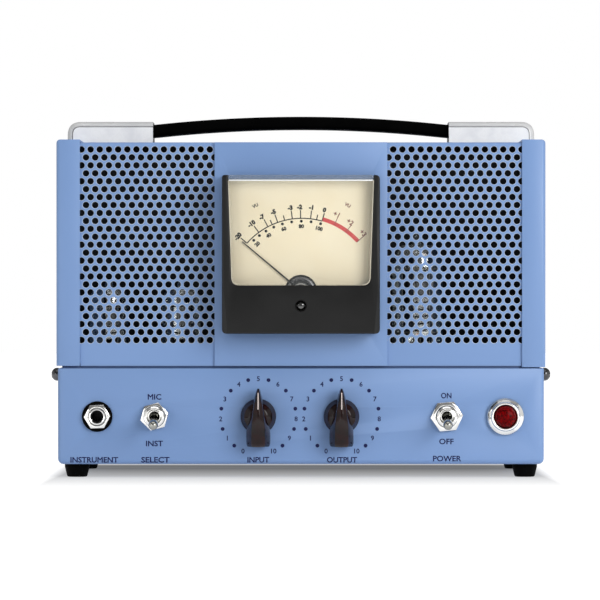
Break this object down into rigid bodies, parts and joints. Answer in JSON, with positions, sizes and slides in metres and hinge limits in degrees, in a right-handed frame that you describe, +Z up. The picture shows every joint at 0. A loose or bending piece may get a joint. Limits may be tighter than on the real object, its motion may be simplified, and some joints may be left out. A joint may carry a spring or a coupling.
{
  "type": "tube preamplifier",
  "caption": "Tabletop tube preamplifier: folded steel pan with knobs, toggles, jack and lamp under a perforated cage with a level meter and a strap handle.",
  "frame": {"origin": "on the floor under the middle of the whole part, at the bottoms of the rubber feet", "axes": "+X to the right as seen from the front, +Y to the rear, +Z up; the control panel faces -Y"},
  "size_m": [0.274, 0.1881, 0.1991],
  "materials": {
    "blue_paint": "satin powder coat",
    "zinc_plate": "zinc plated",
    "bright_metal": "nickel plated",
    "black_plastic": "moulded",
    "black_rubber": "matt",
    "black_strap": "grained vinyl",
    "cream_card": "matt cream",
    "clear_cover": "clear",
    "maroon_bakelite": "polished bakelite",
    "ruby_glass": "faceted",
    "tube_glass": "clear",
    "lamp_glass": "clear",
    "ceramic": "glazed",
    "board_green": "laminate"
  },
  "bodies": {
    "case": {"chassis_pan": "blue_paint", "deck_plate": "zinc_plate", "cage_end_left": "blue_paint", "cage_end_right": "blue_paint", "cage_screw_front_left": "bright_metal", "cage_screw_front_right": "bright_metal", "cage_screw_rear_left": "bright_metal", "cage_screw_rear_right": "bright_metal", "cage_wrap": "blue_paint", "meter_plate": "blue_paint", "foot_front_left": "black_rubber", "foot_front_right": "black_rubber", "foot_rear_left": "black_rubber", "foot_rear_right": "black_rubber", "meter_case": "black_plastic", "meter_window": "clear_cover", "meter_apron": "black_plastic", "meter_scale": "cream_card", "meter_movement": "black_plastic", "handle_strap": "black_strap", "handle_cap_left": "bright_metal", "handle_cap_right": "bright_metal", "input_pot": "zinc_plate", "output_pot": "zinc_plate", "select_switch": "bright_metal", "select_nut": "bright_metal", "power_switch": "bright_metal", "power_nut": "bright_metal", "instrument_jack": "black_plastic", "jack_washer": "black_plastic", "jack_nut": "bright_metal", "pilot_bezel": "bright_metal", "pilot_jewel": "ruby_glass", "pilot_bulb": "lamp_glass", "left_tube": "tube_glass", "middle_tube": "tube_glass", "right_tube": "tube_glass", "left_socket": "ceramic", "middle_socket": "ceramic", "right_socket": "black_plastic", "power_transformer": "zinc_plate", "filter_capacitor": "bright_metal", "input_transformer": "bright_metal", "output_transformer": "bright_metal", "circuit_board": "board_green", "microphone_inlet": "black_plastic", "line_outlet": "black_plastic", "mains_inlet": "black_plastic", "fuse_holder": "black_plastic"},
    "input_control": {"input_knob": "maroon_bakelite", "input_shaft": "zinc_plate"},
    "output_control": {"output_knob": "maroon_bakelite", "output_shaft": "zinc_plate"},
    "select_toggle": {"select_lever": "bright_metal"},
    "power_toggle": {"power_lever": "bright_metal"},
    "needle": {"meter_needle": "black_plastic"},
    "zero_adjuster": {"meter_zero_screw": "black_plastic"},
    "fuse_carrier": {"fuse_cap": "black_plastic"},
    "latch": {"inlet_latch": "bright_metal"}
  },
  "joints": [
    {"name": "input_turn", "type": "hinge", "parent": "case", "child": "input_control", "pos_m": [-0.0232, -0.06874, 0.0332], "axis": [0, 1, 0], "range_deg": [-156, 156]},
    {"name": "output_turn", "type": "hinge", "parent": "case", "child": "output_control", "pos_m": [0.0221, -0.06874, 0.0332], "axis": [0, 1, 0], "range_deg": [-156, 156]},
    {"name": "select_flip", "type": "hinge", "parent": "case", "child": "select_toggle", "pos_m": [-0.0798, -0.07354, 0.0332], "axis": [-1, 0, 0], "range_deg": [0, 26]},
    {"name": "power_flip", "type": "hinge", "parent": "case", "child": "power_toggle", "pos_m": [0.0795, -0.07354, 0.0332], "axis": [-1, 0, 0], "range_deg": [0, 26]},
    {"name": "needle_swing", "type": "hinge", "parent": "case", "child": "needle", "pos_m": [0, -0.08184, 0.1016], "axis": [0, 1, 0], "range_deg": [0, 100], "stiffness_Nm_per_rad": 0.00002},
    {"name": "zero_turn", "type": "hinge", "parent": "case", "child": "zero_adjuster", "pos_m": [0, -0.087, 0.0936], "axis": [0, 1, 0], "continuous": true},
    {"name": "fuse_pull", "type": "slide", "parent": "case", "child": "fuse_carrier", "axis": [0, 1, 0], "range_m": [0, 0.026]},
    {"name": "latch_press", "type": "slide", "parent": "case", "child": "latch", "axis": [0, -1, 0], "range_m": [0, 0.0016], "stiffness_N_per_m": 300}
  ]
}
